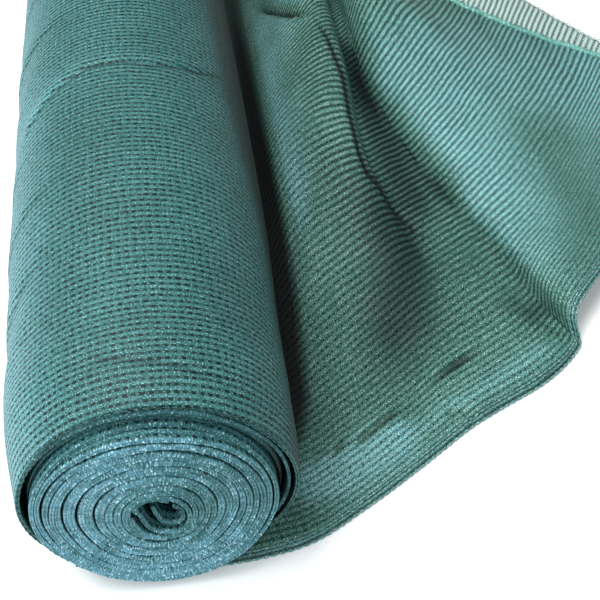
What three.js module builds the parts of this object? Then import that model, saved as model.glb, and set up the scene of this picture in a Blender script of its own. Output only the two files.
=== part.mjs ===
// Roll of green shade netting with its free end laid out beside it.
// The net is knitted, folded double lengthwise and wound up.
// Millimetres, +Z up. The roll lies along +Y with its axis over x = 0, and the floor is z = 0.
// The pieces are drawn with the roll's front end at y = 0.

import * as THREE from 'three';
import { mergeVertices } from 'three/addons/utils/BufferGeometryUtils.js';

// Driving sizes of the roll
const rollLength = 742;
const bodyRadius = 79.4;
const waistRadius = 77.2;
const coreRadius = 67.5;
const lipRadius = 72;
const lipSetback = 8;
const taperLength = 55;
const grooveDepth = 40;
const closedGroove = 0.8;
const openGroove = 4;
const faceClearance = 0.4;
const restHeight = 3.1;

// Driving sizes of the net
const netThickness = 1.1;
const layerGap = 0.4;
const rollGap = 0.6;
const foldedWidth = 745;
const lowerLayerExtra = 14;
const lowerLayerSpread = 64;
const seamAngle = 230;

// How finely the shapes are drawn
const columnsRound = 66;
const stepsAcross = 25;
const stepsPerSpan = 3;
const spansUnderRoll = 8;

const doubleThickness = 2 * netThickness + layerGap;

function smoothStep(from, to, value) {
  return THREE.MathUtils.smoothstep(value, from, to);
}

// A hump of height 1 at the centre angle that fades out at the given half width, in degrees.
function bumpAt(angle, centre, halfWidth) {
  const away = Math.abs(((angle - centre + 540) % 360) - 180);
  return away < halfWidth ? 0.5 + 0.5 * Math.cos((Math.PI * away) / halfWidth) : 0;
}

// Outer radius of the last turn: it narrows a little towards the front and more at its lip.
function turnRadius(y) {
  const open = Math.sin((Math.PI / 2) * Math.min(1, Math.max(0, y - lipSetback) / taperLength));
  const swell = smoothStep(90, 190, y);
  return lipRadius + (waistRadius - lipRadius) * open + (bodyRadius - waistRadius) * swell;
}

// The loose last turn hangs out on the right and sits close elsewhere.
function slack(angle, y) {
  const nearLip = 1 - smoothStep(lipSetback, taperLength, y);
  return nearLip * (4 * bumpAt(angle, 355, 50) - 1.5 * bumpAt(angle, 150, 50));
}

// Slow unevenness of the wound net, none of it where the free end leaves the roll.
function unevenness(angle, y) {
  const clear = 1 - Math.min(1, 2 * bumpAt(angle, 262, 85));
  const turn = THREE.MathUtils.degToRad(angle);
  return clear * (0.7 * Math.sin(2 * turn + y / 95) + 0.5 * Math.sin(3 * turn - y / 61));
}

// Turns a point of a cross section, given by angle and radius, into a point in space.
// Below the lowest height allowed for it, the section is pressed flat.
function onSection(angle, radius, centreHeight, y, lowest) {
  const turn = THREE.MathUtils.degToRad(angle);
  const height = centreHeight + radius * Math.sin(turn);
  return new THREE.Vector3(radius * Math.cos(turn), y, Math.max(lowest, height));
}

// The free end starts at the seam, so the roll steps in there by the doubled net's thickness.
function lastTurn(angle, y) {
  const base = turnRadius(y) + slack(angle, y) + unevenness(angle, y);
  const underFreeEnd = angle > seamAngle && angle < 330;
  const stepIn = underFreeEnd ? (doubleThickness + rollGap) * (1 - smoothStep(285, 330, angle)) : 0;
  return base - stepIn;
}

// Angles of the columns round the roll, with two close ones at the seam.
function columnAngles() {
  const angles = [];
  for (let i = 0; i < columnsRound; i += 1) {
    angles.push((360 * i) / columnsRound);
  }
  return [...angles, seamAngle - 0.1, seamAngle + 0.2].sort((a, b) => a - b);
}

// Closed mesh from rings of points, with a single point at each end.
function closedRings(firstPoint, rings, lastPoint) {
  const points = [firstPoint, ...rings.flat(), lastPoint];
  const count = rings[0].length;
  const faces = [];
  const at = (ring, column) => 1 + ring * count + (column % count);
  for (let column = 0; column < count; column += 1) {
    faces.push(0, at(0, column), at(0, column + 1));
    for (let ring = 0; ring + 1 < rings.length; ring += 1) {
      const a = at(ring, column);
      const b = at(ring, column + 1);
      const c = at(ring + 1, column + 1);
      const d = at(ring + 1, column);
      faces.push(a, d, c, a, c, b);
    }
    faces.push(points.length - 1, at(rings.length - 1, column + 1), at(rings.length - 1, column));
  }
  return meshGeometry(points, faces);
}

function meshGeometry(points, faces) {
  const geometry = new THREE.BufferGeometry().setFromPoints(points);
  geometry.setIndex(faces);
  const merged = mergeVertices(geometry, 1e-4);
  merged.computeVertexNormals();
  return merged;
}

// Front face from the middle out. Set back is how far behind the front plane the ring lies.
const faceRings = [
  { radius: 4, setBack: 15 },
  { radius: 8, setBack: 10 },
  { radius: 12, setBack: 3 },
  { radius: 17, setBack: 1.4 },
  { radius: 24, setBack: 0.4 },
  { radius: 31, setBack: 1.2 },
  { radius: 38, setBack: 0 },
  { radius: 45, setBack: 1 },
  { radius: 52, setBack: 0 },
  { radius: 58, setBack: 1.1 },
  { radius: 63, setBack: 0.2 },
  { radius: 66.8, setBack: 0 },
  { radius: coreRadius, setBack: 1.2 },
];

const bodyStations = [16, 30, 48, 75, 110, 160, 220, 290, 370, 450, 530, 610, 680, 735];
const backRings = [70, 45, 20];

// The collapsed middle is squeezed flat, so its rings are ovals that widen into circles.
function squeezed(radius, angle) {
  const turn = THREE.MathUtils.degToRad(angle - 25);
  const oval = 0.34 * (1 - smoothStep(8, 40, radius));
  return radius * (1 - oval * Math.sin(turn) ** 2);
}

function rollGeometry() {
  const angles = columnAngles();
  const ring = (radiusAt, y, height, lowest = restHeight) =>
    angles.map((angle) => onSection(angle, radiusAt(angle), height, y, lowest));
  const faceHeight = coreRadius + faceClearance;
  const lipHeight = turnRadius(lipSetback);
  const grooveEnd = lipSetback + grooveDepth;
  const grooveHeight = turnRadius(grooveEnd);
  const insideLip = (angle) => lastTurn(angle, lipSetback) - doubleThickness;
  const insideGroove = (angle) => lastTurn(angle, grooveEnd) - doubleThickness;
  const neck = (angle) => Math.min(coreRadius, insideLip(angle) - closedGroove);
  const grooveFloor = (angle) => insideGroove(angle) - openGroove;
  const rings = faceRings.map(({ radius, setBack }) =>
    ring((angle) => squeezed(radius, angle), setBack, faceHeight, faceClearance));
  rings.push(ring(neck, lipSetback - 1, lipHeight, restHeight + 2));
  rings.push(ring(neck, lipSetback + 3, lipHeight, restHeight + 2));
  rings.push(ring(grooveFloor, grooveEnd, grooveHeight, restHeight + 2));
  rings.push(ring(insideGroove, grooveEnd, grooveHeight, restHeight + 1));
  rings.push(ring(insideLip, lipSetback, lipHeight, restHeight + 1));
  rings.push(ring((angle) => lastTurn(angle, lipSetback), lipSetback, lipHeight));
  for (const y of bodyStations) {
    rings.push(ring((angle) => lastTurn(angle, y), y, turnRadius(y)));
  }
  const backHeight = turnRadius(rollLength);
  rings.push(ring((angle) => lastTurn(angle, rollLength) - 1, rollLength, backHeight));
  for (const radius of backRings) {
    rings.push(ring((angle) => squeezed(radius, angle), rollLength, backHeight));
  }
  const front = new THREE.Vector3(0, 17, faceHeight);
  const back = new THREE.Vector3(0, rollLength, backHeight);
  return closedRings(front, rings, back);
}

// Where the free end still follows the roll, from the seam to the floor.
// The roll's weight presses it a little flat at the bottom.
const wrapAngles = [seamAngle + 0.8, 238, 246, 254, 262, 270];
const pressedFlat = 0.9;

// Lines of the free end that run along the roll's direction, from the roll outwards.
// frontX and frontY place the line on the front edge, innerX is where it settles
// at the share settle of the width, farX is where it ends at the far fold.
// lift is its height over the floor from the share riseTo of the width on.
const floorLine = (frontX, frontY, innerX, settle, farX, lift, riseFrom, riseTo) =>
  ({ frontX, frontY, innerX, settle, farX, lift, riseFrom, riseTo });
const floorLines = [
  floorLine(22, 4.5, 22, 0.5, 22, 0, 0, 1),
  floorLine(55, 6, 56, 0.5, 56, 0, 0, 1),
  floorLine(84, 12, 92, 0.3, 92, 0, 0, 1),
  floorLine(118, 30, 112, 0.4, 114, 8, 0.08, 0.45),
  floorLine(158, 55, 136, 0.4, 142, 25, 0.06, 0.5),
  floorLine(195, 79.5, 159, 0.4, 170, 36, 0.05, 0.45),
  floorLine(222, 93.5, 172, 0.35, 186, 33, 0.08, 0.42),
  floorLine(248, 106, 181, 0.35, 200, 9, 0.15, 0.4),
  floorLine(270, 121, 190, 0.45, 213, 3, 0.15, 0.4),
  floorLine(286, 138, 198, 0.5, 224, 0, 0, 1),
];

// The panel beyond the main crease, from the crease (share 0) to the cut end (share 1).
// Its front edge is drawn in towards the crease by frontShift.
const panelLines = [
  { share: 0.05, frontShift: -11, frontLift: 16, innerLift: 12 },
  { share: 0.2, frontShift: -4, frontLift: 20, innerLift: 27 },
  { share: 0.5, frontShift: 0, frontLift: 14, innerLift: 34 },
  { share: 0.8, frontShift: 0, frontLift: 6, innerLift: 20 },
  { share: 1, frontShift: 0, frontLift: 1.6, innerLift: 9 },
];

const farFoldY = (frontY) => frontY + foldedWidth - frontY * 0.12;

function creaseLikeLine(line, share) {
  const eased = Math.sin((Math.PI / 2) * Math.min(1, share / line.settle));
  const settled = line.frontX + (line.innerX - line.frontX) * eased;
  const x = settled + (line.farX - line.innerX) * smoothStep(0.6, 1, share);
  const y = line.frontY + (farFoldY(line.frontY) - line.frontY) * share;
  return new THREE.Vector3(x, y, line.lift * smoothStep(line.riseFrom, line.riseTo, share));
}

// Cut end of the net, a straight edge at the front that swings towards the far fold.
const cutEnd = { frontX: 480, frontY: 415, lean: -210, bow: -130, reach: 440, swingX: 90, swingY: 110 };

function cutEndPoint(share) {
  const swing = share ** 3;
  const bow = cutEnd.bow * 4 * share * (1 - share);
  const x = cutEnd.frontX + cutEnd.lean * share + bow + cutEnd.swingX * swing;
  const y = cutEnd.frontY + cutEnd.reach * share + cutEnd.swingY * swing;
  return new THREE.Vector3(x, y, 0);
}

// Key points of the net's underside at one share of its folded width, from the seam outwards.
function keyPoints(share, isUpper) {
  const points = [];
  for (const angle of wrapAngles) {
    const y = 5 + foldedWidth * share;
    const radius = turnRadius(y);
    const turn = THREE.MathUtils.degToRad(angle);
    const height = radius * (1 + Math.sin(turn)) - pressedFlat;
    points.push(new THREE.Vector3(radius * Math.cos(turn), y, Math.max(0, height)));
  }
  for (const line of floorLines) {
    points.push(creaseLikeLine(line, share));
  }
  const crease = points[points.length - 1];
  const end = cutEndPoint(share);
  const inner = smoothStep(0, 0.4, share);
  for (const line of panelLines) {
    const point = crease.clone().lerp(end, line.share);
    point.x += line.frontShift * (1 - smoothStep(0, 0.15, share));
    point.z = THREE.MathUtils.lerp(line.frontLift, line.innerLift, inner);
    points.push(point);
  }
  if (!isUpper) {
    const last = points[points.length - 1];
    last.z *= share;
    const outward = end.clone().sub(crease).normalize();
    const spread = lowerLayerSpread * smoothStep(0, 0.32, share) * (1 - smoothStep(0.45, 0.95, share));
    last.addScaledVector(outward, lowerLayerExtra * (1 - share) + spread);
    points[points.length - 2].z *= 0.55 + 0.45 * share;
  }
  return points;
}

// One line of the net's underside, drawn through the key points and kept on the floor.
// Spans under the roll stay straight, the others are divided.
function undersideLine(share, isUpper) {
  const keys = keyPoints(share, isUpper);
  const spans = keys.length - 1;
  const curve = new THREE.CatmullRomCurve3(keys, false, 'centripetal');
  const line = [];
  for (let span = 0; span < spans; span += 1) {
    const steps = span < spansUnderRoll ? 1 : stepsPerSpan;
    for (let step = 0; step < steps; step += 1) {
      line.push(curve.getPoint((span + step / steps) / spans));
    }
  }
  line.push(keys[spans]);
  for (const point of line) {
    point.z = Math.max(0, point.z);
  }
  return line;
}

// Normals of a grid of points, from the neighbours in both directions.
function gridNormals(grid) {
  return grid.map((line, i) => line.map((point, j) => {
    const before = grid[Math.max(0, i - 1)][j];
    const after = grid[Math.min(grid.length - 1, i + 1)][j];
    const left = line[Math.max(0, j - 1)];
    const right = line[Math.min(line.length - 1, j + 1)];
    return right.clone().sub(left).cross(after.clone().sub(before)).normalize();
  }));
}

function offsetGrid(grid, normals, distance) {
  const moved = (point, normal) => point.clone().addScaledVector(normal, distance);
  return grid.map((line, i) => line.map((point, j) => moved(point, normals[i][j])));
}

// The fold that joins both layers on the far side, as half a ring about its middle.
function foldLine(bottomLine, normalLine, inwardLine, radius, angle) {
  return bottomLine.map((point, j) => {
    const outward = point.clone().sub(inwardLine[j]).normalize();
    const middle = point.clone().addScaledVector(normalLine[j], doubleThickness / 2);
    return middle
      .addScaledVector(outward, radius * Math.cos(angle))
      .addScaledVector(normalLine[j], radius * Math.sin(angle));
  });
}

function freeEndGeometry() {
  const lower = [];
  const upper = [];
  for (let i = 0; i <= stepsAcross; i += 1) {
    lower.push(undersideLine(i / stepsAcross, false));
    upper.push(undersideLine(i / stepsAcross, true));
  }
  const lowerNormals = gridNormals(lower);
  const upperNormals = gridNormals(upper);
  const last = stepsAcross;
  const fold = (radius, angle) => foldLine(lower[last], lowerNormals[last], lower[last - 1], radius, angle);
  const outerRadius = doubleThickness / 2;
  const innerRadius = layerGap / 2;
  const foldAngles = [-Math.PI / 4, 0, Math.PI / 4];
  const outside = [
    ...lower,
    ...foldAngles.map((angle) => fold(outerRadius, angle)),
    ...offsetGrid(upper, upperNormals, doubleThickness).reverse(),
  ];
  const inside = [
    ...offsetGrid(lower, lowerNormals, netThickness),
    ...foldAngles.map((angle) => fold(innerRadius, angle)),
    ...offsetGrid(upper, upperNormals, netThickness + layerGap).reverse(),
  ];
  return thickSheet(outside, inside);
}

// Closed mesh between two grids of the same size, with a rim along all four sides.
function thickSheet(outside, inside) {
  const rows = outside.length;
  const columns = outside[0].length;
  const points = [...outside.flat(), ...inside.flat()];
  const faces = [];
  const out = (i, j) => i * columns + j;
  const inn = (i, j) => rows * columns + i * columns + j;
  const quad = (a, b, c, d) => faces.push(a, b, c, a, c, d);
  for (let i = 0; i + 1 < rows; i += 1) {
    for (let j = 0; j + 1 < columns; j += 1) {
      quad(out(i, j), out(i + 1, j), out(i + 1, j + 1), out(i, j + 1));
      quad(inn(i, j), inn(i, j + 1), inn(i + 1, j + 1), inn(i + 1, j));
    }
    quad(out(i, 0), inn(i, 0), inn(i + 1, 0), out(i + 1, 0));
    quad(out(i, columns - 1), out(i + 1, columns - 1), inn(i + 1, columns - 1), inn(i, columns - 1));
  }
  for (let j = 0; j + 1 < columns; j += 1) {
    quad(out(0, j), out(0, j + 1), inn(0, j + 1), inn(0, j));
    quad(out(rows - 1, j), inn(rows - 1, j), inn(rows - 1, j + 1), out(rows - 1, j + 1));
  }
  return meshGeometry(points, faces);
}

function netMaterial(colour) {
  return new THREE.MeshStandardMaterial({ color: colour, roughness: 0.65, metalness: 0 });
}

function piece(name, geometry, colour) {
  const mesh = new THREE.Mesh(geometry, netMaterial(colour));
  mesh.name = name;
  return mesh;
}

const shadeNetting = new THREE.Group();
shadeNetting.add(piece('wound_roll', rollGeometry(), 0x3f7a78));
shadeNetting.add(piece('free_end', freeEndGeometry(), 0x4a8a80));
// The part's origin is on the floor under the middle of the roll's length.
shadeNetting.position.y = -rollLength / 2;

export default shadeNetting;
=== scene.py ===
# Roll of green knitted shade net, folded double lengthwise, with its free end laid out beside it.
# Lengths are worked out in millimetres from the roll's front end and go into the meshes in metres.
import bpy
import numpy as np
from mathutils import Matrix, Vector


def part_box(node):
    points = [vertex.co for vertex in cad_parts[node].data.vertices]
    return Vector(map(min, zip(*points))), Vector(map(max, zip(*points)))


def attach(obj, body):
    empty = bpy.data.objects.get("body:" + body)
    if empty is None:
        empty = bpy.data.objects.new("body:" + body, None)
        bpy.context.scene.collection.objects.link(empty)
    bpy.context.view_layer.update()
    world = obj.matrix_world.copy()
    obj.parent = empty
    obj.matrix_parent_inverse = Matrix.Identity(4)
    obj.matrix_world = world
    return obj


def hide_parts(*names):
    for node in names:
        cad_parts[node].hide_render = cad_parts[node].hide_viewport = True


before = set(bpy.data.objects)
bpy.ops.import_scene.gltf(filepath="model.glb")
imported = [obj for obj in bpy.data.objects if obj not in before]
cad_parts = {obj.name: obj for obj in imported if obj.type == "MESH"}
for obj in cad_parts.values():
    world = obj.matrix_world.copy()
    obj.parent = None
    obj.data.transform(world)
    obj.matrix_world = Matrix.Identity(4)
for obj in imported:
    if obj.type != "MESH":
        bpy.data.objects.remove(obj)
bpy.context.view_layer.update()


# The wound roll. About eighteen turns of doubled net, wound on themselves without a core tube.
# Its last turn is loose: it flares away from the tight turns and ends in a lip at the front.
ROLL_LENGTH = 742.0
BODY_RADIUS = 79.4
WAIST_RADIUS = 77.2
CORE_RADIUS = 67.5
LIP_RADIUS = 72.0
LIP_SETBACK = 8.0
TAPER_LENGTH = 55.0
GROOVE_DEPTH = 40.0
REST_HEIGHT = 3.1
DOUBLE_NET = 2.6
SEAM_ANGLE = 230.0
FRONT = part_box("wound_roll")[0].y


def smooth(start, end, value):
    """Rises from 0 at start to 1 at end along an S curve."""
    share = np.clip((value - start) / (end - start), 0.0, 1.0)
    return share * share * (3.0 - 2.0 * share)


def hump(angle, centre, half_width):
    """Half a cosine wave of height 1 at the centre angle, 0 beyond the half width, in degrees."""
    away = np.abs((angle - centre + 540.0) % 360.0 - 180.0)
    return np.where(away < half_width, 0.5 + 0.5 * np.cos(np.pi * away / half_width), 0.0)


def new_piece(name, points, faces, knit=None, shade=0.0):
    """Mesh object from points in millimetres. knit gives each point its place on the flat net, shade the
    light and shade painted on the net there: painted light above 0, painted shade below 0, and above 1
    also a more open net."""
    places = np.asarray(points, float).reshape(-1, 3) * 0.001 + (0.0, FRONT, 0.0)
    mesh = bpy.data.meshes.new(name)
    mesh.from_pydata(places.tolist(), [], [list(face) for face in faces])
    if knit is not None:
        corners = np.empty(len(mesh.loops), np.int32)
        mesh.loops.foreach_get("vertex_index", corners)
        flat = mesh.uv_layers.new(name="knit")
        flat.data.foreach_set("uv", (np.asarray(knit, float).reshape(-1, 2)[corners] * 0.001).ravel())
        shades = np.broadcast_to(shade, np.asarray(points).shape[:-1]).astype(float)
        mesh.attributes.new("shade", "FLOAT", "POINT").data.foreach_set("value", shades.ravel())
    mesh.shade_smooth()
    made = bpy.data.objects.new(name, mesh)
    bpy.context.scene.collection.objects.link(made)
    return made


def grid_faces(rows, columns, loop=False, first=0):
    """Four-sided faces between the points of a grid, whose columns may close into a loop."""
    down, along = np.meshgrid(np.arange(rows - 1), np.arange(columns if loop else columns - 1), indexing="ij")
    beside = (along + 1) % columns
    corners = [down * columns + along, down * columns + beside, (down + 1) * columns + beside,
               (down + 1) * columns + along]
    return first + np.stack(corners, -1).reshape(-1, 4)


def turn_radius(y):
    """Outer radius of the last turn: a quarter sine from the lip to the waist, then a slow swell."""
    opening = np.sin(np.pi / 2 * np.clip((y - LIP_SETBACK) / TAPER_LENGTH, 0.0, 1.0))
    swell = smooth(90.0, 190.0, y)
    return LIP_RADIUS + (WAIST_RADIUS - LIP_RADIUS) * opening + (BODY_RADIUS - WAIST_RADIUS) * swell


def slack(angle, y):
    """The last turn hangs out on the right and sits close on the left, near its lip only."""
    near_lip = 1.0 - smooth(LIP_SETBACK, TAPER_LENGTH, y)
    return near_lip * (4.0 * hump(angle, 355.0, 50.0) - 1.5 * hump(angle, 150.0, 50.0))


def unevenness(angle, y):
    """Two slow waves round the roll, none where the free end leaves it."""
    clear = 1.0 - np.minimum(1.0, 2.0 * hump(angle, 262.0, 85.0))
    turn = np.radians(angle)
    return clear * (0.7 * np.sin(2 * turn + y / 95.0) + 0.5 * np.sin(3 * turn - y / 61.0))


def last_turn(angle, y):
    """Outer radius of the last turn at each angle, stepped in over the free end."""
    under_free_end = (angle > SEAM_ANGLE) & (angle < 330.0)
    step = np.where(under_free_end, (DOUBLE_NET + 0.6) * (1.0 - smooth(285.0, 330.0, angle)), 0.0)
    return turn_radius(y) + slack(angle, y) + unevenness(angle, y) - step


def streak(x, y, places, width):
    """Soft line through places: 1 on the line, falling away over the width on both sides.
    A line through more than two places fades out towards its first and last place."""
    strengths = np.ones(len(places))
    if len(places) > 2:
        strengths[[0, -1]] = 0.0
    strongest = np.zeros(np.broadcast(x, y).shape)
    for number, (start, stop) in enumerate(zip(places[:-1], places[1:])):
        reach_x, reach_y = stop[0] - start[0], stop[1] - start[1]
        along = ((x - start[0]) * reach_x + (y - start[1]) * reach_y) / (reach_x ** 2 + reach_y ** 2)
        along = np.clip(along, 0.0, 1.0)
        away = (x - start[0] - reach_x * along) ** 2 + (y - start[1] - reach_y * along) ** 2
        strength = strengths[number] + (strengths[number + 1] - strengths[number]) * along
        strongest = np.maximum(strongest, strength * np.exp(-away / width ** 2))
    return strongest


# Creases that run round the roll, as angle and place along it.
MAIN_CREASE = ((146, 250), (142, 256), (127, 266), (105, 279), (91, 278), (77, 276), (52, 285), (34, 300))
FINE_CREASE = ((118, 41), (102, 38), (92, 35), (82, 32), (68, 27.5), (50, 26))
LEFT_CREASES = (
    ((178, 96), (160, 112), (142, 121), (120, 130)),
    ((182, 150), (163, 163), (140, 176), (118, 182)),
    ((180, 206), (160, 222), (138, 231)),
    ((176, 322), (158, 338), (132, 350), (104, 356)),
    ((172, 395), (150, 414), (120, 428), (84, 432), (52, 440)),
)


def round_crease(angle, y, places, width, shift=0.0):
    """Soft line round the roll through places given as angle and place along the roll."""
    laid = [(BODY_RADIUS * np.radians(at), along + shift) for at, along in places]
    return streak(BODY_RADIUS * np.radians(angle), y, laid, width)


def dents(angle, y):
    """Creases round the roll and small slack waves on its left, as a change of radius."""
    crease = -1.1 * round_crease(angle, y, MAIN_CREASE, 2.2)
    crease = crease + 0.6 * round_crease(angle, y, MAIN_CREASE, 6.0, 8.0)
    crease = crease - 0.8 * round_crease(angle, y, FINE_CREASE, 1.8)
    for places in LEFT_CREASES:
        crease = crease - 0.7 * round_crease(angle, y, places, 2.4)
        crease = crease + 0.5 * round_crease(angle, y, places, 5.0, 7.0)
    left = 0.9 * np.sin(y / 8.5 + angle / 9.0) * hump(angle, 165.0, 45.0) * smooth(40.0, 90.0, y)
    return crease + left * (0.5 + 0.5 * np.sin(y / 41.0))


def on_section(angle, radius, height, y, lowest):
    """Point at an angle and radius about the roll's centre line, never under the lowest height."""
    turn = np.radians(angle)
    up = np.maximum(lowest, height + radius * np.sin(turn))
    return np.stack([radius * np.cos(turn), y + 0.0 * up, up], -1)


round_angles = np.sort(np.append(np.arange(0.0, 360.0, 1.25), [SEAM_ANGLE - 0.1, SEAM_ANGLE + 0.2]))
face_height = CORE_RADIUS + 0.4
lip_height = turn_radius(LIP_SETBACK)
groove_end = LIP_SETBACK + GROOVE_DEPTH
groove_height = turn_radius(groove_end)
inside_lip = last_turn(round_angles, LIP_SETBACK) - DOUBLE_NET
inside_groove = last_turn(round_angles, groove_end) - DOUBLE_NET
neck = np.minimum(CORE_RADIUS - 0.6, inside_lip - 3.2)
even = np.ones_like(round_angles)
lip_y = LIP_SETBACK + 2.6 * hump(round_angles, 90.0, 95.0)
# Rings from the middle of the front end, through the groove, over the lip and along the roll to
# the middle of the back end: radius, place along the roll, height of the centre, lowest height.
CAP_RADIUS = 65.6
CAP_LOWEST = 0.4
BACK_RECESS = 12.0
rings = [
    (2.0 * even, 16.0, face_height, CAP_LOWEST),
    (40.0 * even, 13.0, face_height, CAP_LOWEST),
    (CAP_RADIUS * even, 13.0, face_height, CAP_LOWEST),
    (CAP_RADIUS * even, 12.0, face_height, CAP_LOWEST),
    (neck, 14.0, lip_height, REST_HEIGHT + 2),
    (inside_groove - 4.0, groove_end, groove_height, REST_HEIGHT + 2),
    (inside_groove, groove_end, groove_height, REST_HEIGHT + 1),
    (inside_lip + 0.5, 12.0, lip_height, REST_HEIGHT + 1),
    (inside_lip + 0.2, lip_y, lip_height, REST_HEIGHT + 1),
    (last_turn(round_angles, LIP_SETBACK), lip_y, lip_height, REST_HEIGHT),
]
ring_places = [np.arange(11.0, 24.0, 3.0), np.arange(24.0, 45.0, 1.5), np.arange(45.0, 246.0, 3.5),
               np.arange(246.0, 306.0, 1.5), np.arange(306.0, 736.0, 4.0), [736.0, 739.0, 741.0]]
for y in np.concatenate(ring_places):
    shifted_y = y + (lip_y - LIP_SETBACK) * (1.0 - smooth(LIP_SETBACK, 34.0, y))
    radius = last_turn(round_angles, y) + dents(round_angles, y)
    rings.append((radius, shifted_y, turn_radius(y), REST_HEIGHT))
back_height = turn_radius(ROLL_LENGTH)
inside_back = last_turn(round_angles, ROLL_LENGTH) - DOUBLE_NET
rings.append((inside_back + 1.6, ROLL_LENGTH, back_height, REST_HEIGHT))
rings.append((inside_back, ROLL_LENGTH - 1.0, back_height, REST_HEIGHT + DOUBLE_NET))
for radius in (inside_back, 70.0 * even, 40.0 * even, 2.0 * even):
    rings.append((radius, ROLL_LENGTH - BACK_RECESS, back_height, REST_HEIGHT + DOUBLE_NET))
ring_points = np.array([on_section(round_angles, radius, height, y, lowest)
                        for radius, y, height, lowest in rings])
ring_y = np.array([y * even for _, y, _, _ in rings])
around = BODY_RADIUS * np.radians((round_angles - SEAM_ANGLE) % 360.0 + SEAM_ANGLE - 360.0)
ring_rows = ring_y + 12.0 * smooth(0.0, 75.0, ring_y)
ring_knit = np.stack(np.broadcast_arrays(around, ring_rows), -1)

# Painted light and shade on the roll: painted light on the left, painted shade on the right, and a
# near-black painted shadow beside the free end and inside the ends.
ring_shade = 0.8 * hump(round_angles, 170.0, 70.0) - 0.3 * hump(round_angles, 10.0, 60.0)
to_right = (round_angles + 180.0) % 360.0 - 180.0
shadow_from = 13.0 + 32.0 * smooth(60.0, 300.0, ring_y)
shaded_right_side = smooth(30.0 + 55.0 * smooth(100.0, 500.0, ring_y), 5.0, to_right)
shadow = 2.0 * smooth(shadow_from, -6.0, to_right)
shadow = shadow + (0.65 + 0.3 * smooth(400.0, 650.0, ring_y)) * shaded_right_side
ring_shade = ring_shade - shadow * smooth(-120.0, -90.0, to_right)
# Painted shadow in the hollow in the middle of the front end and in the groove under the lip.
ring_shade[:2] = -1.0
ring_shade[4:8] = -1.0
# Painted shade along the creases round the roll, with painted light on the ridge beside the main crease.
ring_shade = ring_shade - 0.75 * round_crease(round_angles, ring_y, MAIN_CREASE, 1.7)
ring_shade = ring_shade + 0.25 * round_crease(round_angles, ring_y, MAIN_CREASE, 6.0, 9.0)
ring_shade = ring_shade - 0.6 * round_crease(round_angles, ring_y, FINE_CREASE, 1.6)
for places in LEFT_CREASES:
    ring_shade = ring_shade - 0.45 * round_crease(round_angles, ring_y, places, 2.2)
ring_faces = grid_faces(len(rings), len(round_angles), True)[:, ::-1]
roll_body = new_piece("wound_net_body", ring_points, ring_faces, ring_knit, ring_shade)


class Wire:
    """One socket of a shader. Sums on it add Math nodes."""

    def __init__(self, shader, socket):
        self.shader = shader
        self.socket = socket

    def math(self, operation, *values):
        return self.shader.node("Math", {"operation": operation}, dict(enumerate(values)))

    def __add__(self, other):
        return self.math("ADD", self, other)

    __radd__ = __add__

    def __sub__(self, other):
        return self.math("SUBTRACT", self, other)

    def __rsub__(self, other):
        return self.math("SUBTRACT", other, self)

    def __mul__(self, other):
        return self.math("MULTIPLY", self, other)

    __rmul__ = __mul__

    def __truediv__(self, other):
        return self.math("DIVIDE", self, other)

    def __pow__(self, other):
        return self.math("POWER", self, other)

    def __abs__(self):
        return self.math("ABSOLUTE", self)

    def fract(self):
        return self.math("FRACT", self)

    def whole(self):
        return self.math("FLOOR", self)

    def sine(self):
        return self.math("SINE", self)

    def rises(self, start, end):
        settings = {"interpolation_type": "SMOOTHSTEP"}
        values = {"Value": self, "From Min": start, "From Max": end}
        return self.shader.node("MapRange", settings, values)


class Shader:
    """The nodes of one material."""

    def __init__(self, name):
        self.material = bpy.data.materials.new(name)
        self.material.use_nodes = True
        self.tree = self.material.node_tree
        self.tree.nodes.clear()

    def node(self, kind, settings=None, values=None, output=0):
        """Adds any node: its settings first, then the values or links of its sockets."""
        made = self.tree.nodes.new("ShaderNode" + kind)
        for key, value in (settings or {}).items():
            setattr(made, key, value)
        for key, value in (values or {}).items():
            if isinstance(value, Wire):
                self.tree.links.new(value.socket, made.inputs[key])
            else:
                made.inputs[key].default_value = value
        return Wire(self, made.outputs[output]) if made.outputs else None

    def blend(self, share, first, second):
        """Colour between two colours."""
        return self.node("Mix", {"data_type": "RGBA"}, {0: share, 6: first, 7: second}, 2)

    def noise(self, place, scale, detail=2.0):
        return self.node("TexNoise", {}, {"Vector": place, "Scale": scale, "Detail": detail})

    def finish(self, surface):
        self.node("OutputMaterial", {}, {"Surface": surface})
        return self.material


WALE = 0.0042
MESH = 0.0045


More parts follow.
